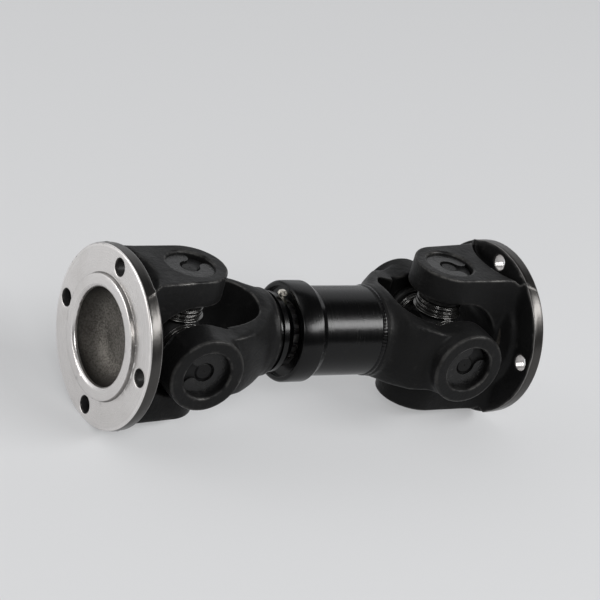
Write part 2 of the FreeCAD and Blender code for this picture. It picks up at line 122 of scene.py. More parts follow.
COLLAR_OUTLINE = [(52, 4), (52, 21.0), (57.2, 21.0), (57.6, 22.4), (60.6, 22.4), (61.2, 21.8), (61.2, 17.6),
                  (66.0, 17.6), (66.0, 4)]

CAP_START, CAP_STOP, CAP_TAIL, CAP_R = 65.8, 79.7, 83.2, 28.2
CAP_MOUTH_R, CAP_MOUTH_END, CAP_SEAT_R = 25.0, 68.3, 18.9
TUBE_R, TUBE_IN, TUBE_START, TUBE_END = 25.1, 22.1, 70.4, 121.0
TUBE_LEAD = 1.6
CAP_OUTLINE = [(CAP_START, 25.4), (CAP_START + 0.5, CAP_MOUTH_R), (CAP_MOUTH_END, CAP_MOUTH_R),
               (CAP_MOUTH_END, CAP_SEAT_R), (TUBE_START, CAP_SEAT_R), (TUBE_START, TUBE_R),
               (CAP_TAIL, TUBE_R), (CAP_TAIL, TUBE_R + 0.6), (CAP_STOP, CAP_R - 0.4), (CAP_STOP - 0.5, CAP_R),
               (CAP_START + 1.6, CAP_R), (CAP_START + 0.5, CAP_R - 0.5), (CAP_START, CAP_R - 1.5)]
TUBE_OUTLINE = [(TUBE_START, TUBE_IN), (TUBE_END, TUBE_IN), (TUBE_END, TUBE_R - TUBE_LEAD),
                (TUBE_END - TUBE_LEAD, TUBE_R), (TUBE_START, TUBE_R)]

RING_IN, RING_OUT, RING_LOW, RING_THICK = 5.6, 14.4, 39.5, 1.5
RING_OPENING = 54.0         # half of the ring's gap, in degrees
RING_TURN = {"a_top": 40, "a_bottom": 140, "a_near": 175, "a_far": 20,
             "b_top": 150, "b_bottom": 60, "b_near": 230, "b_far": -50}

SPLINE_TEETH = 18
SPLINE_TOOTH = ((-0.30, 13.3), (-0.17, 15.3), (0.17, 15.3), (0.30, 13.3))  # (part of a pitch, radius)
SPLINE_ROWS = ((65.0, 1.0), (111.2, 1.0), (112.0, 0.955))                  # (station, scale)

VOXEL = 0.6
FIELD_REACH = 3.0
ADAPTIVITY = 0.012


# ---- placing ------------------------------------------------------------------------------------
def ear_frame(end_place, turn):
    """Frame whose Z runs out along an ear; turn is about X, in degrees."""
    return end_place @ Matrix.Rotation(math.radians(turn), 4, "X")


HALF_TURN = Matrix.Rotation(math.pi, 4, "Z")
LATHE_TO_Z = Matrix.Rotation(math.radians(-90), 4, "Y")
END_A_FLANGE = Matrix.Translation((FACE_TO_CROSS, 0, 0))
END_A_SHAFT = END_A_FLANGE @ Matrix.Rotation(-WORK_ANGLE, 4, "Z")
END_B_FLANGE = Matrix.Translation(END_A_SHAFT @ Vector((CROSS_SPACING, 0, 0))) @ HALF_TURN
END_B_SHAFT = END_A_SHAFT @ Matrix.Translation((CROSS_SPACING, 0, 0)) @ HALF_TURN


# ---- distance fields ----------------------------------------------------------------------------
def both(a, b, soft):
    """Intersection with a rounded edge."""
    blend = np.clip(0.5 + 0.5 * (a - b) / soft, 0, 1)
    return b + (a - b) * blend + soft * blend * (1 - blend)


def either(a, b, soft):
    """Union with a fillet."""
    return -both(-a, -b, soft)


def length(*parts):
    return np.sqrt(sum(part * part for part in parts))


def fit_curve(x, points):
    return np.interp(x, [p[0] for p in points], [p[1] for p in points]).astype(np.float32)


def cone_mouth(radius, depth_in, size):
    """45 degree lead at a bore's mouth; depth_in is the distance below the mouth plane."""
    return (radius - size + depth_in) * 0.707


def bearing_bore(from_axis, out, outer):
    """Bore of a bearing cap, with a lead at the ear's outer face."""
    bore_r = from_axis - BORE_R
    bore = np.minimum(bore_r, cone_mouth(bore_r, outer - out, 0.9))
    return np.maximum(bore, BORE_START - out)


def flange_yoke_field(x, y, z):
    """Flange with pilot, pocket and bolt holes, and two ears along Z."""
    r = length(y, z)
    high = np.abs(z)
    half_thick = (BACK - FACE) / 2
    disc = both(np.abs(x - FACE - half_thick) - half_thick, r - FLANGE_R, 1.4)
    pilot = both(np.maximum(PILOT_TOP - x, x - FACE - PILOT_ROOT), r - PILOT_R, 0.5)
    inner = BACK - ROOT_OVERLAP - x
    slope = HUB_SLOPE[0] * (x - HUB_SLOPE_AT[0]) + HUB_SLOPE[1] * (r - HUB_SLOPE_AT[1])
    hub = both(both(r - FLANGE_HUB_R, slope, 3.0), x - FLANGE_HUB_END, 3.0)
    hub = np.maximum(hub, inner)

    half_width = fit_curve(x, FLANGE_EAR_WIDTH)
    side = np.where(x > 0, length(x, y) - FLANGE_EAR_R, np.abs(y) - half_width)
    ears = both(side, high - FLANGE_EAR_OUTER, 1.1)
    cradle = np.where(x > CRADLE_AT, high - EAR_INNER, length(x - CRADLE_AT, z) - EAR_INNER)
    ears = both(ears, -cradle, 1.6)
    scallop_r = SCALLOP_R + SCALLOP_FLARE * (high - SCALLOP_FOOT)
    scallop = both(length(x - SCALLOP_AT, y) - scallop_r, SCALLOP_FOOT - high, 5.0)
    ears = both(ears, -scallop, 1.0)
    ears = np.maximum(ears, inner)

    body = either(ears, either(disc, hub, 2.4), 3.2)
    body = np.minimum(body, pilot)
    corner = POCKET_R - POCKET_CORNER
    deep = np.maximum(x - POCKET_FLOOR + POCKET_CORNER, 0)
    pocket = length(np.maximum(r - corner, 0), deep) - POCKET_CORNER
    pocket = np.minimum(pocket, np.maximum(cone_mouth(r - POCKET_R, x - PILOT_TOP, 1.2), x - FACE))
    body = np.maximum(body, -pocket)
    body = np.maximum(body, -bearing_bore(length(x, y), high, FLANGE_EAR_OUTER))
    for hole_y, hole_z in BOLT_HOLES:
        hole_r = length(y - hole_y, z - hole_z) - BOLT_HOLE_R
        mouth = np.maximum(cone_mouth(hole_r, x - FACE, 0.7), x - FACE - 2)
        hole = np.maximum(np.minimum(hole_r, mouth), x - BACK - 2)
        body = np.maximum(body, -hole)
    return body


def shaft_yoke_field(x, y, z, hub_r, hub_start, hub_end, waist, limit, throat_end):
    """Two arms that run together into a round hub, with a throat between them and ears along Y.

    waist is the arms' half height; limit is their outer radius at stations along X.
    """
    r = length(y, z)
    wide = np.abs(y)
    high = np.abs(z)
    arm_bend = limit[0][0]
    run = hub_start - arm_bend
    drop = ARM_OUTER - hub_r
    curve_r = (run * run + drop * drop) / (2 * drop)
    step = np.clip(x - arm_bend, 0, run)
    plan = ARM_OUTER - (curve_r - np.sqrt(curve_r * curve_r - step * step))
    side = fit_curve(x, [(ARM_BACK, waist - 4), (0, waist), (18, waist), (hub_start, hub_r)])
    envelope = fit_curve(x, [(-30, 60)] + limit)
    arms = both(both(wide - plan, high - side, 1.5), r - envelope, 4.0)
    arms = np.maximum(arms, np.maximum(ARM_BACK - x, x - hub_start - 1.5))

    hub = both(r - hub_r, x - hub_end, 0.9)
    hub = np.maximum(hub, hub_start - HUB_OVERLAP - x)
    hub = both(hub, 0.8 * (r - (HUB_CONE_R + (x - hub_start + HUB_OVERLAP))), 3.0)
    body = either(arms, hub, 3.5)

    throat = (np.maximum(x - THROAT_START, 0) / (throat_end - THROAT_START)) ** THROAT_POWER
    throat = throat + (wide / THROAT_HALF) ** THROAT_POWER
    throat = (throat ** (1 / THROAT_POWER) - 1) * THROAT_HALF
    body = both(body, -throat, 0.7)
    seat_r = length(x, z)
    boss = both(seat_r - SHAFT_EAR_R, wide - SHAFT_EAR_OUTER, 1.9)
    boss = both(boss, EAR_INNER - wide, 1.2)
    body = both(body, -both(wide - EAR_INNER, x - EAR_FLAT_END, 1.0), 0.8)
    body = either(body, boss, 3.4)
    return np.maximum(body, -bearing_bore(seat_r, wide, SHAFT_EAR_OUTER))


def slip_yoke_field(x, y, z):
    limit = [(18, 43.5), (30, 38.0), (42, 30.5), (51, 23.6)]
    return shaft_yoke_field(x, y, z, 23.6, 51.0, 54.8, 18.0, limit, 43.5)


def tube_yoke_field(x, y, z):
    limit = [(14, 44), (26, 39), (35, 31.5), (41, 25.1)]
    return shaft_yoke_field(x, y, z, 25.1, 41.0, 46.0, 18.5, limit, 36.0)


# ---- meshes -------------------------------------------------------------------------------------
def new_piece(name, verts, faces):
    mesh = bpy.data.meshes.new(name)
    mesh.from_pydata(verts, [], faces)
    mesh.validate()
    piece = bpy.data.objects.new(name, mesh)
    bpy.context.scene.collection.objects.link(piece)
    return piece


def shade_smooth(piece):
    mesh = piece.data
    mesh.polygons.foreach_set("use_smooth", np.ones(len(mesh.polygons), bool))


def solid_from_field(field, low, high, placings):
    """Zero surface of a field, once per (name, place), with the field's own slope as its normals.

    The point attribute "bend" is the surface's curvature, positive on convex edges.
    """
    axes = [np.arange(a, b + VOXEL, VOXEL, dtype=np.float32) for a, b in zip(low, high)]
    x = axes[0][:, None, None]
    y = axes[1][None, :, None]
    z = axes[2][None, None, :]
    values = np.broadcast_to(field(x, y, z), [len(a) for a in axes]).astype(np.float32)
    values = np.ascontiguousarray(np.clip(values, -FIELD_REACH, FIELD_REACH))
    grid = openvdb.FloatGrid(FIELD_REACH)
    grid.copyFromArray(values)
    points, triangles, quads = grid.convertToPolygons(isovalue=0.0, adaptivity=ADAPTIVITY)
    slopes = np.gradient(values)
    curving = sum(np.gradient(slope, axis=axis) for axis, slope in enumerate(slopes)) / (VOXEL * VOXEL)
    cell = np.clip(points, 0, np.array(values.shape) - 1.001)
    base = cell.astype(int)
    part = cell - base

    def sampled(block):
        total = 0
        for corner in np.ndindex(2, 2, 2):
            weight = np.prod([part[:, k] if corner[k] else 1 - part[:, k] for k in range(3)], axis=0)
            i, j, k = (base + corner).T
            total = total + weight * block[i, j, k]
        return total

    normals = np.stack([sampled(slope) for slope in slopes], axis=1)
    normals /= np.maximum(np.linalg.norm(normals, axis=1, keepdims=True), 1e-6)
    bend = sampled(curving).astype(np.float32)
    points = points * VOXEL + np.array(low)
    faces = triangles.tolist() + quads.tolist()
    made = []
    for name, place in placings:
        turn = np.array(place.to_3x3())
        move = np.array(place.translation)
        piece = new_piece(name, (points @ turn.T + move) * MM, faces)
        shade_smooth(piece)
        if len(piece.data.vertices) == len(points):
            piece.data.normals_split_custom_set_from_vertices(normals @ turn.T)
            piece.data.attributes.new("bend", "FLOAT", "POINT").data.foreach_set("value", bend)
        made.append(piece)
    return made


def soften_rims(piece, width):
    shade_smooth(piece)
    soften = piece.modifiers.new("rims", "BEVEL")
    soften.width = width * MM
    soften.segments = 2
    soften.limit_method = "ANGLE"
    soften.angle_limit = math.radians(25)
    soften.harden_normals = True


def turned_piece(name, outline, place, segments=160, bevel=0.18):
    """Lathe mesh about X from (station, radius) points, with a small bevel on its sharp rims."""
    verts, faces = [], []
    count = len(outline)
    for n in range(segments):
        angle = 2 * math.pi * n / segments
        for station, radius in outline:
            point = place @ Vector((station, radius * math.cos(angle), radius * math.sin(angle)))
            verts.append(point * MM)
    for n in range(segments):
        m = (n + 1) % segments
        for k in range(count):
            j = (k + 1) % count
            faces.append((n * count + k, n * count + j, m * count + j, m * count + k))
    piece = new_piece(name, verts, faces)
    soften_rims(piece, bevel)
    return piece


def ring_piece(name, place):
    """Broad retaining ring with rounded ends: a bevelled band about Z with its gap towards +X."""
    middle = (RING_OUT + RING_IN) / 2
    half = (RING_OUT - RING_IN) / 2 - 0.02
    top = RING_LOW + RING_THICK
    tips, steps, tip_half = 9, 56, 0.15
    rails = []              # (degrees round the ring, shift along it, half width)
    for n in range(tips):
        angle = math.radians(90 - 90 * n / tips)
        rails.append((RING_OPENING, -half * math.sin(angle), half * math.cos(angle)))
    for n in range(steps + 1):
        rails.append((RING_OPENING + (360 - 2 * RING_OPENING) * n / steps, 0, half))
    for n in range(1, tips + 1):
        angle = math.radians(90 * n / tips)
        rails.append((360 - RING_OPENING, half * math.sin(angle), half * math.cos(angle)))
    rails[0] = (RING_OPENING, -half, tip_half)
    rails[-1] = (360 - RING_OPENING, half, tip_half)
    verts = []
    for degrees, ahead, wide in rails:
        angle = math.radians(degrees)
        out = Vector((math.cos(angle), math.sin(angle), 0))
        along = Vector((-math.sin(angle), math.cos(angle), 0))
        for radius, height in ((middle - wide, RING_LOW), (middle + wide, RING_LOW),
                               (middle + wide, top), (middle - wide, top)):
            verts.append((place @ (out * radius + along * ahead + Vector((0, 0, height)))) * MM)
    faces = [(0, 1, 2, 3), tuple(4 * (len(rails) - 1) + k for k in (3, 2, 1, 0))]
    for n in range(len(rails) - 1):
        for k in range(4):
            j = (k + 1) % 4
            faces.append((4 * n + j, 4 * n + k, 4 * n + 4 + k, 4 * n + 4 + j))
    piece = new_piece(name, verts, faces)
    soften_rims(piece, 0.5)
    return piece


def splined_stub():
    pitch = 2 * math.pi / SPLINE_TEETH
    outline = []
    for tooth in range(SPLINE_TEETH):
        for part, radius in SPLINE_TOOTH:
            angle = (tooth + part) * pitch
            outline.append((radius * math.cos(angle), radius * math.sin(angle)))
    count = len(outline)
    verts = []
    for station, scale in SPLINE_ROWS:
        for y, z in outline:
            verts.append((END_A_SHAFT @ Vector((station, y * scale, z * scale))) * MM)
    faces = [tuple(range(count)), tuple(range(3 * count - 1, 2 * count - 1, -1))]
    for row in (0, 1):
        for k in range(count):
            j = (k + 1) % count
            faces.append((row * count + j, row * count + k, (row + 1) * count + k, (row + 1) * count + j))
    return new_piece("slip_spline", verts, faces)


def weld_bead():
    """Low bead laid in overlapping ripples round the tube."""
    ripples, around, across = 74, 592, 14
    sink = 1.3              # depth of the bead's centre below the tube's surface
    verts, faces = [], []
    for n in range(around):
        turn = 2 * math.pi * n / around
        phase = (n * ripples / around) % 1.0
        crest = 1.86 + 0.10 * math.sin(math.pi * phase) + 0.05 * math.sin(5 * turn + 1.0)
        lean = 0.22 * math.sin(3 * turn) + 0.12 * math.sin(11 * turn + 0.6)
        for k in range(across):
            part = 2 * math.pi * k / across
            radius = TUBE_R - sink + crest * math.cos(part)
            station = TUBE_END + lean * max(0.0, math.cos(part)) + crest * math.sin(part)
            point = Vector((station, radius * math.cos(turn), radius * math.sin(turn)))
            verts.append((END_A_SHAFT @ point) * MM)
    for n in range(around):
        m = (n + 1) % around
        for k in range(across):
            j = (k + 1) % across
            faces.append((n * across + k, m * across + k, m * across + j, n * across + j))
    piece = new_piece("rippled_weld", verts, faces)
    shade_smooth(piece)
    return piece


# ---- material helpers ---------------------------------------------------------------------------
class Shader:
    """A Principled material and short calls for the nodes around it."""

    def __init__(self, name, color, roughness, metallic=0.0, specular=0.5):
        self.material = bpy.data.materials.new(name)
        self.material.use_nodes = True
        self.tree = self.material.node_tree
        self.bsdf = self.tree.nodes["Principled BSDF"]
        self.set("Base Color", (*color, 1))
        self.set("Roughness", roughness)
        self.set("Metallic", metallic)
        self.set("Specular IOR Level", specular)
        self.coords = self.node("ShaderNodeTexCoord").outputs["Object"]

    def set(self, socket, value):
        self.bsdf.inputs[socket].default_value = value

    def node(self, kind, **fields):
        made = self.tree.nodes.new(kind)
        for key, value in fields.items():
            setattr(made, key, value)
        return made

    def link(self, source, target):
        """Joins a socket, or sets a number, or sets one number on all parts of a vector."""
        if hasattr(source, "is_output"):
            self.tree.links.new(source, target)
        elif hasattr(target.default_value, "__len__") and not hasattr(source, "__len__"):
            target.default_value = (source,) * 3
        else:
            target.default_value = source

    def surface(self, color, roughness, normal, metallic=None):
        """Joins the four maps to the Principled node and returns the material."""
        self.link(color, self.bsdf.inputs["Base Color"])
        self.link(roughness, self.bsdf.inputs["Roughness"])
        self.link(normal, self.bsdf.inputs["Normal"])
        if metallic is not None:
            self.link(metallic, self.bsdf.inputs["Metallic"])
        return self.material

    def math(self, operation, a, b=0.0, clamp=False):
        made = self.node("ShaderNodeMath", operation=operation, use_clamp=clamp)
        self.link(a, made.inputs[0])
        self.link(b, made.inputs[1])
        return made.outputs[0]

    def times(self, a, b):
        return self.math("MULTIPLY", a, b)

    def plus(self, a, b):
        return self.math("ADD", a, b)

    def root_of_squares(self, a, b):
        return self.math("SQRT", self.plus(self.times(a, a), self.times(b, b)))

    def noise(self, scale, detail=3.0, roughness=0.55):
        made = self.node("ShaderNodeTexNoise")
        self.link(self.coords, made.inputs["Vector"])
        made.inputs["Scale"].default_value = scale
        made.inputs["Detail"].default_value = detail
        made.inputs["Roughness"].default_value = roughness
        return made.outputs["Fac"]

    def lathe_marks(self, position, scale, detail, roughness=0.5):
        """Noise along one measure: rings when it is a radius, bands when it is a station."""
        made = self.node("ShaderNodeTexNoise", noise_dimensions="1D")
        self.link(position, made.inputs["W"])
        made.inputs["Scale"].default_value = scale
        made.inputs["Detail"].default_value = detail
        made.inputs["Roughness"].default_value = roughness
        return made.outputs["Fac"]

    def ramp(self, value, low, high, start=0.0, end=1.0):
        """Maps low..high to start..end, smoothly and clamped."""
        made = self.node("ShaderNodeMapRange", interpolation_type="SMOOTHSTEP")
        self.link(value, made.inputs["Value"])
        for key, number in (("From Min", low), ("From Max", high), ("To Min", start), ("To Max", end)):
            made.inputs[key].default_value = number
        return made.outputs["Result"]

    def mix(self, factor, a, b):
        made = self.node("ShaderNodeMix", data_type="RGBA")
        self.link(factor, made.inputs[0])
        for socket, value in ((made.inputs[6], a), (made.inputs[7], b)):
            if hasattr(value, "is_output"):
                self.link(value, socket)
            else:
                socket.default_value = (*value, 1)
        return made.outputs[2]

    def mix_value(self, factor, a, b):
        made = self.node("ShaderNodeMix", data_type="FLOAT")
        self.link(factor, made.inputs[0])
        self.link(a, made.inputs[2])
        self.link(b, made.inputs[3])
        return made.outputs[0]

    def mix_normal(self, factor, a, b):
        made = self.node("ShaderNodeMix", data_type="VECTOR")
        self.link(factor, made.inputs[0])
        self.link(a, made.inputs[4])
        self.link(b, made.inputs[5])
        return made.outputs[1]

    def bump(self, height, distance, strength=1.0, after=None):
        made = self.node("ShaderNodeBump")
        self.link(height, made.inputs["Height"])
        made.inputs["Distance"].default_value = distance
        made.inputs["Strength"].default_value = strength
        if after is not None:
            self.link(after, made.inputs["Normal"])
        return made.outputs["Normal"]

    def around(self, place):
        """Sockets (x, y, z, radius about X) of the point in a placed frame, in millimetres."""
        back = place.inverted()
        mapped = self.node("ShaderNodeMapping", vector_type="POINT")
        self.link(self.coords, mapped.inputs["Vector"])
        mapped.inputs["Scale"].default_value = (1 / MM,) * 3
        mapped.inputs["Rotation"].default_value = back.to_euler("XYZ")
        mapped.inputs["Location"].default_value = back.translation
        split = self.node("ShaderNodeSeparateXYZ")
        self.link(mapped.outputs["Vector"], split.inputs[0])
        x, y, z = split.outputs
        return x, y, z, self.root_of_squares(y, z)


# ---- materials ----------------------------------------------------------------------------------
RIM_DARK = (0.030, 0.029, 0.028)
RIM_LIGHT = (0.115, 0.110, 0.105)
EDGE_RUBBED = (0.075, 0.073, 0.070)
PAINT_DARK = (0.0070, 0.0070, 0.0071)
PAINT_LIGHT = (0.0165, 0.0160, 0.0155)
GLOSS_DARK = (0.0012, 0.0012, 0.0013)
GLOSS_DUSTY = (0.0045, 0.0044, 0.0043)
STEEL_DARK = (0.66, 0.635, 0.615)
STEEL_LIGHT = (0.94, 0.92, 0.91)
STEEL_STAIN = (0.58, 0.55, 0.53)
PILOT_FOOT_PAINTED_SHADE = (0.09, 0.085, 0.08)
RAW_DARK = (0.060, 0.055, 0.049)
RAW_LIGHT = (0.215, 0.203, 0.185)
# painted shade colours of the pocket: one for its upper and lower ends, one for its wall
RAW_ENDS_PAINTED_SHADE = (0.012, 0.011, 0.010)
RAW_WALL_PAINTED_SHADE = (0.030, 0.027, 0.024)
FORGED_SPECULAR = 0.11
FORGED_ROUGHNESS = (0.34, 0.50)
WORN_ROUGHNESS = 0.30
WORN_METAL = 0.55


def edge_wear(shader):
    """How far the paint is rubbed thin: 0 on flats, up to 1 on convex edges, in patches."""
    bend = shader.node("ShaderNodeAttribute", attribute_name="bend").outputs["Fac"]
    patches = shader.ramp(shader.noise(130.0, 5.0, 0.65), 0.36, 0.66)
    return shader.times(shader.ramp(bend, 0.24, 0.85), patches)


def paint_parts(shader, gloss_low, gloss_high):
    """Black paint over a slightly uneven skin: returns colour, roughness and normal sockets."""
    dust = shader.ramp(shader.noise(160.0, 5.0, 0.65), 0.56, 0.78)
    color = shader.mix(dust, PAINT_DARK, PAINT_LIGHT)
    rough = shader.ramp(shader.noise(55.0, 3.0), 0.3, 0.7, gloss_low, gloss_high)
    rough = shader.plus(rough, shader.times(dust, 0.10))
    swell = shader.bump(shader.noise(110.0, 3.0, 0.5), 0.0007, 0.35)
    skin = shader.bump(shader.noise(330.0, 4.0, 0.65), 0.0004, 0.8, swell)
    peel = shader.bump(shader.noise(900.0, 2.0, 0.6), 0.00003, 0.6, skin)
    return color, rough, peel


def worn_paint(shader):
    """Forged skin's paint with rubbed edges: returns colour, roughness, normal and wear sockets."""
    color, rough, normal = paint_parts(shader, *FORGED_ROUGHNESS)
    wear = edge_wear(shader)
    return shader.mix(wear, color, EDGE_RUBBED), shader.mix_value(wear, rough, WORN_ROUGHNESS), normal, wear


def forged_paint():
    shader = Shader("forged black paint", PAINT_DARK, 0.35, specular=FORGED_SPECULAR)
    color, rough, normal, wear = worn_paint(shader)
    return shader.surface(color, rough, normal, shader.times(wear, WORN_METAL))


def cap_paint(name, specular, gloss_low, gloss_high, rub_start):
    """Thin satin paint over ground caps and blanked rings, with a few brighter rubbed specks."""
    shader = Shader(name, PAINT_DARK, 0.3, specular=specular)
    color, rough, normal = paint_parts(shader, gloss_low, gloss_high)
    rub = shader.ramp(shader.noise(420.0, 5.0, 0.7), rub_start, rub_start + 0.08)
    color = shader.mix(shader.times(rub, 0.5), color, (0.10, 0.098, 0.095))
    return shader.surface(color, rough, normal, shader.times(rub, 0.45))


def turned_steel(shader, x, radius, rim, band):
    """Bare steel of the flange: rings on the face, bands on the rim, which is darker where band is 1."""
    rings = shader.lathe_marks(radius, 3.2, 6.0, 0.75)
    bands = shader.lathe_marks(x, 6.0, 4.0)
    turning = shader.mix_value(rim, rings, bands)
    stain = shader.ramp(shader.noise(45.0, 4.0, 0.6), 0.40, 0.75)
    color = shader.mix(turning, STEEL_DARK, STEEL_LIGHT)
    color = shader.mix(shader.times(stain, 0.30), color, STEEL_STAIN)
    # painted shade: a dark line round the pilot's foot, as the shadow in the corner between pilot and face
    off_foot = shader.math("ABSOLUTE", shader.math("SUBTRACT", radius, PILOT_R + 0.25))
    color = shader.mix(shader.ramp(off_foot, 0.55, 0.15, 0.0, 0.85), color, PILOT_FOOT_PAINTED_SHADE)
    color = shader.mix(band, color, shader.mix(turning, RIM_DARK, RIM_LIGHT))
    rough = shader.mix_value(band, shader.ramp(turning, 0.25, 0.75, 0.24, 0.42), 0.30)
    return color, rough, shader.bump(turning, 0.00004, 0.5)


def raw_forging(shader, x, z, radius):
    """Scaled skin of the pocket, with painted shade on its wall and in its upper and lower ends."""
    scale = shader.plus(shader.times(shader.noise(70.0, 3.0, 0.5), 0.28),
                        shader.times(shader.noise(900.0, 4.0, 0.7), 0.72))
    color = shader.mix(shader.ramp(scale, 0.36, 0.64), RAW_DARK, RAW_LIGHT)
    # painted shade: the pocket darkens at its upper and lower ends, towards its mouth
    ends_shade_depth = shader.ramp(x, FACE + 0.5, FACE + 7.0, 1.0, 0.0)
    off_middle = shader.math("ABSOLUTE", shader.plus(z, 2.0))
    color = shader.mix(shader.times(ends_shade_depth, shader.ramp(off_middle, 9.0, 23.0)), color, RAW_ENDS_PAINTED_SHADE)
    # painted shade: the pocket darkens towards its wall
    wall = shader.ramp(radius, POCKET_R - 9.0, POCKET_R - 1.5)
    color = shader.mix(shader.times(wall, 0.7), color, RAW_WALL_PAINTED_SHADE)
    rough = shader.ramp(scale, 0.3, 0.7, 0.42, 0.6)
    return color, rough, shader.bump(shader.noise(1000.0, 4.0, 0.65), 0.0004, 0.8)


def flange_material(name, place, hole_lit_share):
    """Black paint, with bare turned steel on the face, pilot and rim, and a raw forged pocket.

    The last argument is how bare the bolt holes are, set per flange as painted light: nearly painted over, so
    shaded, on flange a, and bare, lit steel on flange b.
    """
    shader = Shader(name, PAINT_DARK, 0.35, specular=FORGED_SPECULAR)
    x, y, z, radius = shader.around(place)
    paint_color, paint_rough, paint_normal, wear = worn_paint(shader)

    face = shader.times(shader.ramp(x, FACE + 0.25, FACE + 0.05),
                        shader.ramp(radius, POCKET_R - 0.35, POCKET_R - 0.1))
    ragged_x = shader.plus(x, shader.times(shader.noise(60.0, 4.0, 0.6), 1.2))
    rim = shader.times(shader.ramp(radius, FLANGE_R - 2.2, FLANGE_R - 1.9),
                       shader.ramp(ragged_x, BACK + 0.3, BACK - 0.3))
    front_edge = shader.times(rim, shader.ramp(x, FACE + 0.95, FACE + 0.6))
    band = shader.math("SUBTRACT", rim, front_edge, clamp=True)
    nearest = None
    for hole_y, hole_z in BOLT_HOLES:
        away = shader.root_of_squares(shader.math("SUBTRACT", y, hole_y), shader.math("SUBTRACT", z, hole_z))
        nearest = away if nearest is None else shader.math("MINIMUM", nearest, away)
    hole = shader.times(shader.ramp(nearest, BOLT_HOLE_R + 0.12, BOLT_HOLE_R - 0.02),
                        shader.ramp(x, BACK - 0.1, BACK - 0.7))
    steel = shader.math("MAXIMUM", face, rim, clamp=True)
    # painted light: the holes' bare share differs per flange, so the same holes look shaded on a and lit on b
    steel = shader.math("MAXIMUM", steel, shader.times(hole, hole_lit_share), clamp=True)
    pocket = shader.times(shader.ramp(radius, POCKET_R + 0.05, POCKET_R - 0.25),
                          shader.ramp(x, POCKET_FLOOR + 1.4, POCKET_FLOOR + 0.9))
    pocket = shader.times(pocket, shader.ramp(x, FACE - 1.1, FACE - 0.6))

    steel_color, steel_rough, steel_normal = turned_steel(shader, x, radius, rim, band)
    raw_color, raw_rough, raw_normal = raw_forging(shader, x, z, radius)
    color = shader.mix(pocket, shader.mix(steel, paint_color, steel_color), raw_color)
    rough = shader.mix_value(pocket, shader.mix_value(steel, paint_rough, steel_rough), raw_rough)
    metallic = shader.math("MAXIMUM", steel, shader.times(pocket, 0.75), clamp=True)
    metallic = shader.math("MAXIMUM", metallic, shader.times(wear, WORN_METAL), clamp=True)
    normal = shader.mix_normal(pocket, shader.mix_normal(steel, paint_normal, steel_normal), raw_normal)
    return shader.surface(color, rough, normal, metallic)


def gloss_paint():
    """Gloss black over turned steel, with faint bands left by the lathe."""
    shader = Shader("gloss black paint", GLOSS_DARK, 0.2, specular=0.25)
    bands = shader.lathe_marks(shader.around(END_A_SHAFT)[0], 1.6, 5.0)
    dust = shader.ramp(shader.noise(120.0, 5.0, 0.65), 0.55, 0.8)
    rough = shader.plus(shader.ramp(bands, 0.3, 0.7, 0.17, 0.27), shader.times(dust, 0.08))
    peel = shader.bump(shader.noise(420.0, 3.0), 0.00005, 0.5)
    return shader.surface(shader.mix(dust, GLOSS_DARK, GLOSS_DUSTY), rough,
                          shader.bump(bands, 0.00005, 0.4, peel))


def ground_steel(name, low, high, roughness):
    shader = Shader(name, high, roughness, metallic=1.0)
    cloud = shader.noise(240.0, 4.0, 0.6)
    return shader.surface(shader.mix(shader.ramp(cloud, 0.3, 0.7), low, high),
                          shader.ramp(cloud, 0.3, 0.7, roughness - 0.06, roughness + 0.10),
                          shader.bump(shader.noise(700.0, 2.0), 0.000012, 0.4))


def pressed_sheet():
    """Dark oiled sheet of the bearing shields: bright only where a light is mirrored."""
    shader = Shader("dark plated sheet", (0.2, 0.2, 0.2), 0.24, metallic=0.9)
    cloud = shader.noise(140.0, 3.0, 0.5)
    grime = shader.ramp(shader.noise(260.0, 4.0, 0.6), 0.5, 0.72)
    tone = shader.mix(cloud, (0.07, 0.069, 0.067), (0.16, 0.157, 0.153))
    rough = shader.plus(shader.ramp(cloud, 0.3, 0.7, 0.17, 0.26), shader.times(grime, 0.2))
    return shader.surface(shader.mix(grime, tone, (0.02, 0.019, 0.018)), rough,
                          shader.bump(cloud, 0.00001, 0.2))


def rubber():
    shader = Shader("seal rubber", (0.02, 0.02, 0.02), 0.6, specular=0.35)
    cloud = shader.noise(300.0, 4.0, 0.6)
    color = shader.mix(shader.ramp(cloud, 0.35, 0.7), (0.012, 0.012, 0.012), (0.03, 0.029, 0.028))
    return shader.surface(color, shader.ramp(cloud, 0.3, 0.7, 0.52, 0.7),
                          shader.bump(shader.noise(900.0, 3.0), 0.00005, 0.5))


# ---- building -----------------------------------------------------------------------------------
BODY_OF = {node: body for body, members in frame["record"]["behaviour"]["bodies"].items() for node in members}

FORGED = forged_paint()
GLOSS = gloss_paint()
RUBBER = rubber()
CAP_PAINT = cap_paint("thin cap paint", 0.12, 0.30, 0.44, 0.66)
RING_PAINT = cap_paint("thin ring paint", 0.26, 0.17, 0.28, 0.62)
SHEET = pressed_sheet()
BEARING = ground_steel("ground bearing steel", (0.35, 0.345, 0.34), (0.62, 0.61, 0.60), 0.30)
NIPPLE = ground_steel("zinc nipple", (0.45, 0.43, 0.38), (0.78, 0.75, 0.68), 0.28)


def dress(piece, material):
    piece.data.materials.clear()
    piece.data.materials.append(material)


def stand_for(piece, node, material):
    """Puts the piece in a CAD node's place: its body, dressed in the given material, with the node hidden."""
    dress(piece, material)
    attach(piece, BODY_OF[node])
    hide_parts(node)


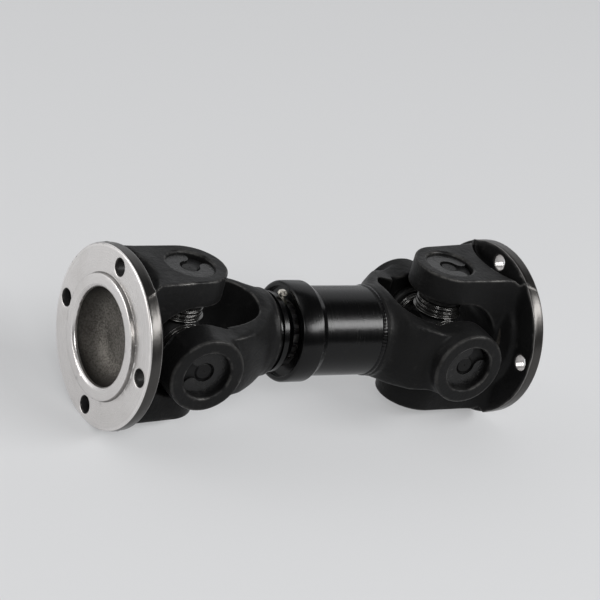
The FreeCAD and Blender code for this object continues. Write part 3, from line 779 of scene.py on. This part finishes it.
# the holes' bareness is painted light: nearly painted over, so shaded, on flange a, and bare, so lit, on
# flange b
FLANGE_ENDS = (("a", END_A_FLANGE, 0.02), ("b", END_B_FLANGE, 0.7))  # end, place, bareness of holes
flange_pieces = solid_from_field(flange_yoke_field, (-47, -51.2, -51.2), (22, 51.2, 51.2),
                                 [("forged_flange_yoke_" + end, place) for end, place, bare in FLANGE_ENDS])
for piece, (end, place, bare) in zip(flange_pieces, FLANGE_ENDS):
    stand_for(piece, "flange_yoke_" + end, flange_material("flange %s paint and steel" % end, place, bare))

for node, field, place, reach in (("slip_yoke", slip_yoke_field, END_A_SHAFT, 56),
                                  ("tube_yoke", tube_yoke_field, END_B_SHAFT, 47)):
    piece, = solid_from_field(field, (-23, -47, -33), (reach, 47, 33), [("forged_" + node, place)])
    stand_for(piece, node, FORGED)

stand_for(turned_piece("slip_collar", COLLAR_OUTLINE, END_A_SHAFT), "slip_yoke", GLOSS)

EAR_FRAMES = []
for side, turn in (("top", 0), ("bottom", 180)):
    EAR_FRAMES.append(("a_" + side, ear_frame(END_A_FLANGE, turn)))
    EAR_FRAMES.append(("b_" + side, ear_frame(END_B_FLANGE, turn)))
for side, turn in (("near", 90), ("far", -90)):
    EAR_FRAMES.append(("a_" + side, ear_frame(END_A_SHAFT, turn)))
    EAR_FRAMES.append(("b_" + side, ear_frame(END_B_SHAFT, -turn)))
for where, place in EAR_FRAMES:
    cup = turned_piece("cap_" + where, CUP_OUTLINE, place @ LATHE_TO_Z, 72, 0.35)
    stand_for(cup, "bearing_cup_" + where, CAP_PAINT)
    gap = Matrix.Rotation(math.radians(RING_TURN[where]), 4, "Z")
    stand_for(ring_piece("ring_" + where, place @ gap), "circlip_" + where, RING_PAINT)
for end, place in (("a", END_A_SHAFT), ("b", END_B_SHAFT)):
    for count in range(4):
        shield = turned_piece("shield_%s_%d" % (end, count), SHIELD_OUTLINE,
                              ear_frame(place, 90 * count) @ LATHE_TO_Z, 96, 0.22)
        stand_for(shield, "dust_guards_" + end, SHEET)

stand_for(turned_piece("turned_dust_cap", CAP_OUTLINE, END_A_SHAFT, 192, 0.3), "dust_cap", GLOSS)
stand_for(turned_piece("tube_wall", TUBE_OUTLINE, END_A_SHAFT, 192, 0.4), "centre_tube", GLOSS)
stand_for(weld_bead(), "weld_ring", GLOSS)
stand_for(splined_stub(), "slip_yoke", BEARING)

for name, node in frame["nodes"].items():
    if node.hide_render:
        continue
    if name in ("cross_a", "cross_b"):
        dress(node, FORGED)
    elif name.startswith(("needle_rollers", "spline_sleeve", "sleeve_plug")):
        dress(node, BEARING)
    elif name.startswith(("trunnion_seals", "wiper_seal")):
        dress(node, RUBBER)
    elif "nipple" in name:
        dress(node, NIPPLE)
    else:
        dress(node, GLOSS)


# ---- floor, light and camera --------------------------------------------------------------------
FLOOR_REACH = 6.0
FLOOR_GAP = 0.0002
FLOOR_COLOR = (0.30, 0.303, 0.308)
FLOOR_GLOW = (0.985, 0.99, 1.0, 1)
FLOOR_LEVEL = 0.345
DOME_RADIUS = 9.0
DOME_GLOW = (0.955, 0.975, 1.0, 1)
DOME_LEVEL = 0.46
SKY_COLOR = (0.97, 0.98, 1.0, 1)
SKY_DIM = 0.05
SKY_BAND = 0.82
SKY_EDGES = (("Y", 0.10, 0.30), ("Z", 0.00, 0.12), ("Z", 0.83, 0.74))  # where the bright wall begins
CENTRE = Vector((0.127, -0.006, 0.0))
CAMERA_LENS = 148.85
CAMERA_PLACE = Vector((-0.658551, -0.959165, 0.605614))
CAMERA_FORWARD = Vector((0.569896, 0.700190, -0.430061))
CAMERA_UP = Vector((0.041695, 0.498054, 0.866143))


def glowing(piece, name, color, roughness, specular, glow, level):
    shader = Shader(name, color, roughness, specular=specular)
    shader.set("Emission Color", glow)
    shader.set("Emission Strength", level)
    dress(piece, shader.material)


def pale_floor():
    ground = cad_low[2] - FLOOR_GAP
    corners = [(x * FLOOR_REACH, y * FLOOR_REACH, ground) for x, y in ((-1, -1), (1, -1), (1, 1), (-1, 1))]
    floor = new_piece("floor", corners, [(0, 1, 2, 3)])
    glowing(floor, "pale floor", FLOOR_COLOR, 0.9, 0.05, FLOOR_GLOW, FLOOR_LEVEL)


def backdrop():
    """Pale dome behind everything, seen by the camera only, so that low views have no dark horizon."""
    mesh = bpy.data.meshes.new("backdrop")
    shape = bmesh.new()
    bmesh.ops.create_uvsphere(shape, u_segments=48, v_segments=24, radius=DOME_RADIUS)
    shape.to_mesh(mesh)
    shape.free()
    dome = bpy.data.objects.new("backdrop", mesh)
    bpy.context.scene.collection.objects.link(dome)
    for kind in ("diffuse", "glossy", "transmission", "volume_scatter", "shadow"):
        setattr(dome, "visible_" + kind, False)
    glowing(dome, "pale backdrop", (0.0, 0.0, 0.0), 1.0, 0.0, DOME_GLOW, DOME_LEVEL)


def studio_sky():
    """Dim room with one broad pale wall behind the object."""
    world = bpy.data.worlds.new("studio")
    bpy.context.scene.world = world
    world.use_nodes = True
    tree = world.node_tree
    split = tree.nodes.new("ShaderNodeSeparateXYZ")
    tree.links.new(tree.nodes.new("ShaderNodeTexCoord").outputs["Generated"], split.inputs[0])
    level = None
    for axis, low, high in SKY_EDGES:
        ramp = tree.nodes.new("ShaderNodeMapRange")
        ramp.interpolation_type = "SMOOTHSTEP"
        tree.links.new(split.outputs[axis], ramp.inputs["Value"])
        ramp.inputs["From Min"].default_value = low
        ramp.inputs["From Max"].default_value = high
        if level is None:
            level = ramp.outputs["Result"]
        else:
            product = tree.nodes.new("ShaderNodeMath")
            product.operation = "MULTIPLY"
            tree.links.new(level, product.inputs[0])
            tree.links.new(ramp.outputs["Result"], product.inputs[1])
            level = product.outputs[0]
    scale = tree.nodes.new("ShaderNodeMapRange")
    tree.links.new(level, scale.inputs["Value"])
    scale.inputs["To Min"].default_value = SKY_DIM
    scale.inputs["To Max"].default_value = SKY_BAND
    back = tree.nodes["Background"]
    back.inputs["Color"].default_value = SKY_COLOR
    tree.links.new(scale.outputs["Result"], back.inputs["Strength"])


def softbox(name, direction, distance, width, height, watts, color=(1, 1, 1)):
    light = bpy.data.lights.new(name, "AREA")
    light.shape = "RECTANGLE"
    light.size = width
    light.size_y = height
    light.energy = watts
    light.color = color
    lamp = bpy.data.objects.new(name, light)
    bpy.context.scene.collection.objects.link(lamp)
    away = Vector(direction).normalized()
    lamp.location = CENTRE + away * distance
    lamp.rotation_euler = away.to_track_quat("Z", "Y").to_euler()


def add_camera():
    """Camera fitted to the photograph: place and aim in metres, no shift."""
    data = bpy.data.cameras.new("camera")
    data.lens = CAMERA_LENS
    data.sensor_width = 36.0
    data.clip_end = 40.0
    camera = bpy.data.objects.new("camera", data)
    bpy.context.scene.collection.objects.link(camera)
    forward = CAMERA_FORWARD.normalized()
    right = forward.cross(CAMERA_UP.normalized()).normalized()
    view = Matrix((right, right.cross(forward), -forward)).transposed().to_4x4()
    view.translation = CAMERA_PLACE
    camera.matrix_world = view
    bpy.context.scene.camera = camera


pale_floor()
backdrop()
studio_sky()
softbox("key", (0.52, -0.61, 0.59), 2.6, 2.2, 0.64, 66)
softbox("face fill", (-0.85, 0.35, 0.25), 1.4, 0.9, 0.9, 6, (1.0, 0.98, 0.96))
softbox("top", (-0.25, 0.1, 1.0), 2.6, 2.2, 2.2, 8)
softbox("edge", (-0.42, -0.69, 0.56), 2.6, 0.8, 0.6, 20)
add_camera()
bpy.context.scene.view_settings.view_transform = "Standard"
